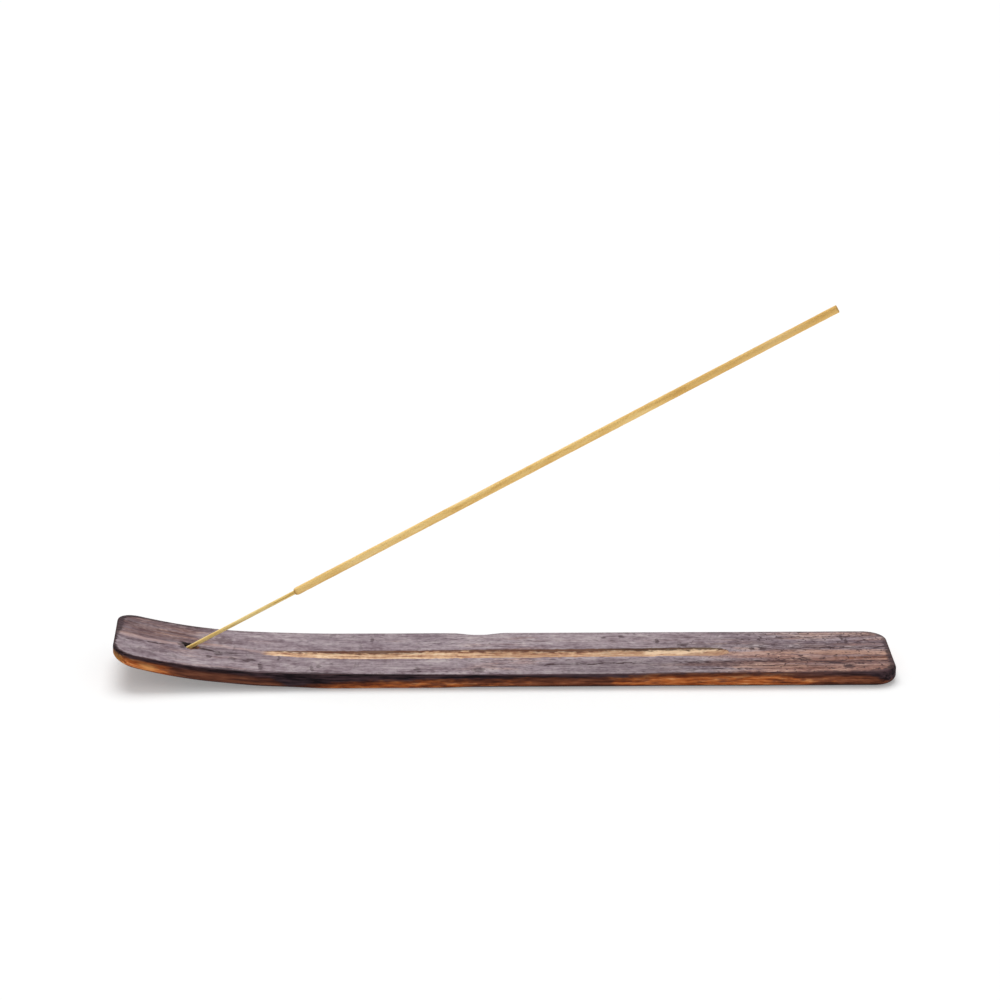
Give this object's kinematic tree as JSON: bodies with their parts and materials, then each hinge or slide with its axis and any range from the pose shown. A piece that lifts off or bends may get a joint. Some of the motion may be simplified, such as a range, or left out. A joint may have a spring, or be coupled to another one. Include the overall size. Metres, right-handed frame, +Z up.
{
  "type": "incense stick holder",
  "caption": "Thin wooden ash catcher with one end swept up, an ash groove down its middle and a slanting hole that holds a removable incense stick.",
  "frame": {"origin": "middle of the board's plan, on the surface that it stands on", "axes": "+X along the board from its swept-up end to its flat end, +Y across the board, +Z up"},
  "size_m": [0.254, 0.038, 0.1228],
  "materials": {
    "stained_wood": "mauve-grey stained top with charred rims, bare orange-brown sides and a pale cut groove",
    "bamboo": "dry split bamboo, faintly glossy",
    "incense_paste": "matt dried incense paste"
  },
  "bodies": {
    "holder": {"ash_board": "stained_wood"},
    "stick": {"bamboo_core": "bamboo", "incense_coating": "incense_paste"}
  },
  "joints": [
    {"name": "stick_pull", "type": "slide", "parent": "holder", "child": "stick", "axis": [0.8763, 0, 0.4818], "range_m": [0, 0.04]}
  ]
}
